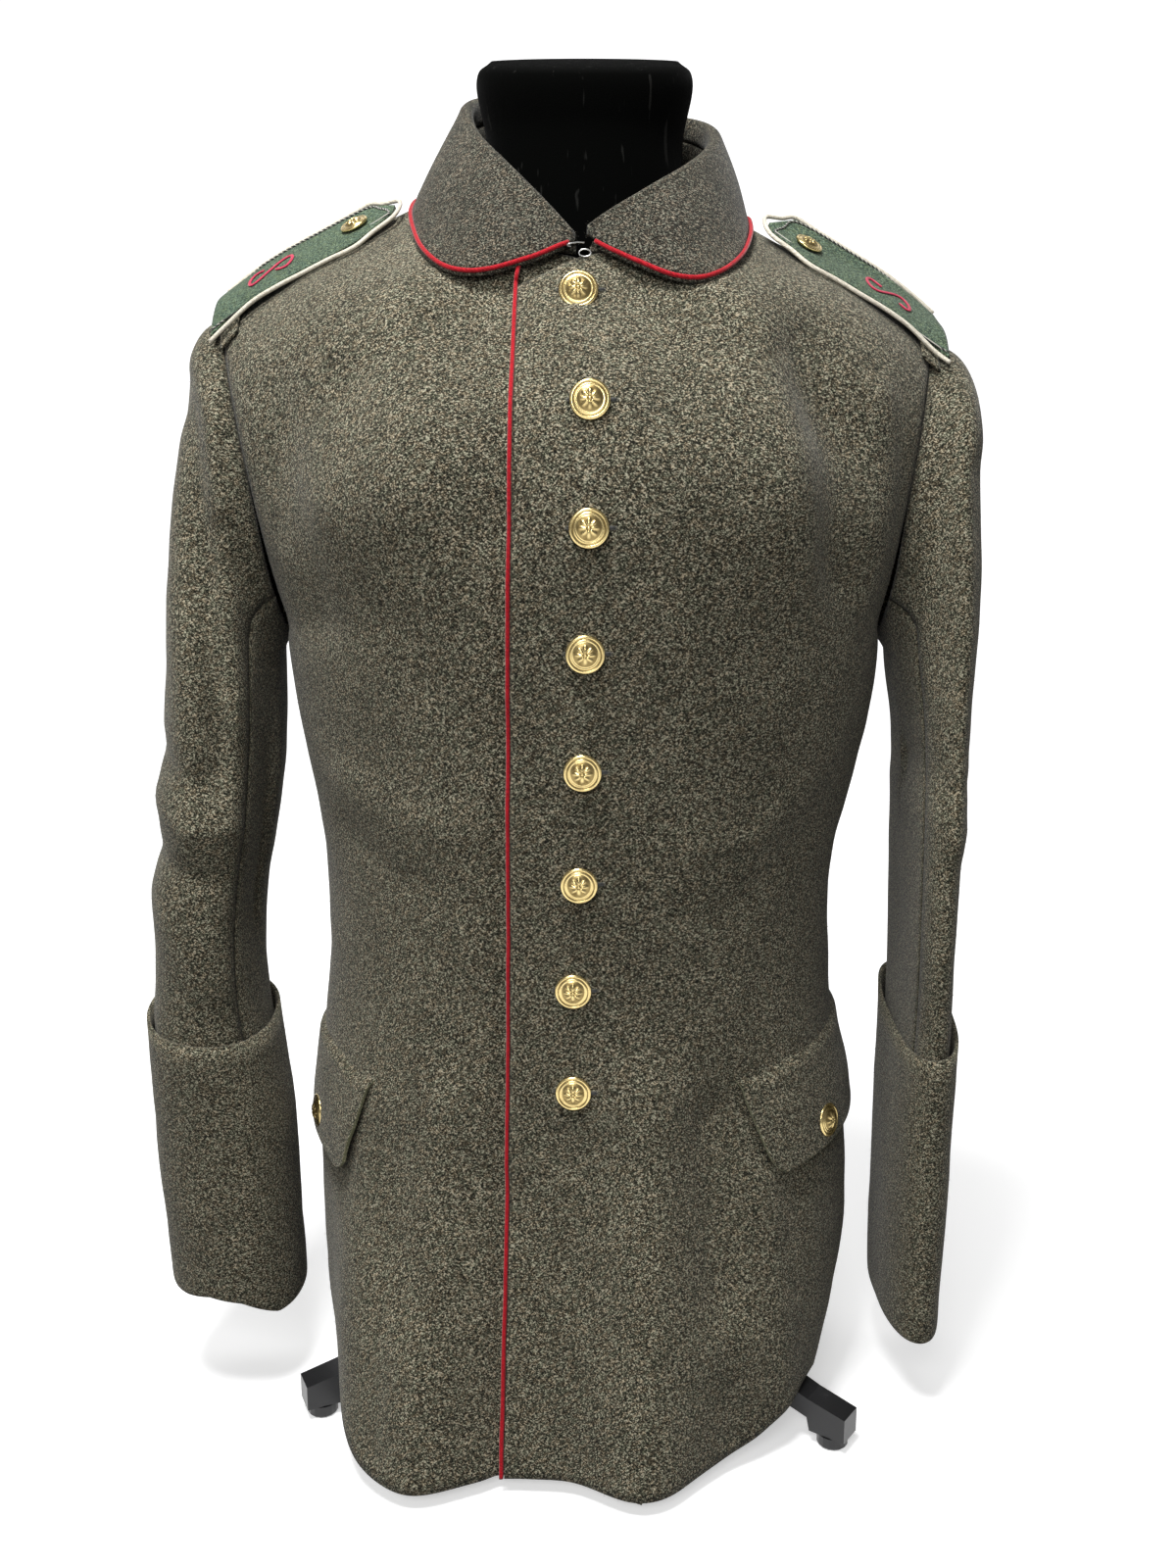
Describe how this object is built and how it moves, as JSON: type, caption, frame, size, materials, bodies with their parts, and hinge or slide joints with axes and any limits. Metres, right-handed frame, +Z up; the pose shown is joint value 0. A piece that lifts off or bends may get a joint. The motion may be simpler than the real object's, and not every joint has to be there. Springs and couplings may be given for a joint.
{
  "type": "field tunic on dress form",
  "caption": "Grey-green wool field tunic with a fall collar, red piping, brass buttons, shoulder straps and deep cuffs, on a black-necked dress form with a tripod.",
  "frame": {"origin": "centre of the bounding box's bottom face, on the floor under the tripod", "axes": "+Z up, the wearer faces -Y, the wearer's left is +X"},
  "size_m": [0.5208, 0.3837, 0.8471],
  "materials": {
    "tunic_wool": "fulled melange wool, raised nap",
    "collar_wool": "fulled melange wool, raised nap",
    "red_piping": "red wool piping",
    "white_piping": "off-white wool piping",
    "strap_wool": "green melange wool",
    "brass": "polished, pressed relief",
    "steel_wire": "drawn wire",
    "black_velvet": "black velvet",
    "form_linen": "plain linen cover",
    "black_metal": "black paint, satin"
  },
  "bodies": {
    "root": {"back_left": "tunic_wool", "back_right": "tunic_wool", "collar_eye": "steel_wire", "collar_fall": "collar_wool", "collar_hook": "steel_wire", "collar_stand": "collar_wool", "cuff_left": "tunic_wool", "cuff_right": "tunic_wool", "flap_button_left": "brass", "flap_button_right": "brass", "flap_left": "tunic_wool", "flap_right": "tunic_wool", "form_glide_back": "black_metal", "form_glide_left": "black_metal", "form_glide_right": "black_metal", "form_hub": "black_metal", "form_leg_back": "black_metal", "form_leg_left": "black_metal", "form_leg_right": "black_metal", "form_neck": "black_velvet", "form_pole": "black_metal", "form_torso": "form_linen", "front_button_1": "brass", "front_button_2": "brass", "front_button_3": "brass", "front_button_4": "brass", "front_button_5": "brass", "front_button_6": "brass", "front_button_7": "brass", "front_button_8": "brass", "front_left": "tunic_wool", "front_right": "tunic_wool", "piping_collar": "red_piping", "piping_front": "red_piping", "sleeve_under_left": "tunic_wool", "sleeve_under_right": "tunic_wool", "sleeve_upper_left": "tunic_wool", "sleeve_upper_right": "tunic_wool", "strap_button_left": "brass", "strap_button_right": "brass", "strap_left": "strap_wool", "strap_loop_left": "tunic_wool", "strap_loop_right": "tunic_wool", "strap_piping_left": "white_piping", "strap_piping_right": "white_piping", "strap_right": "strap_wool"}
  },
  "joints": []
}
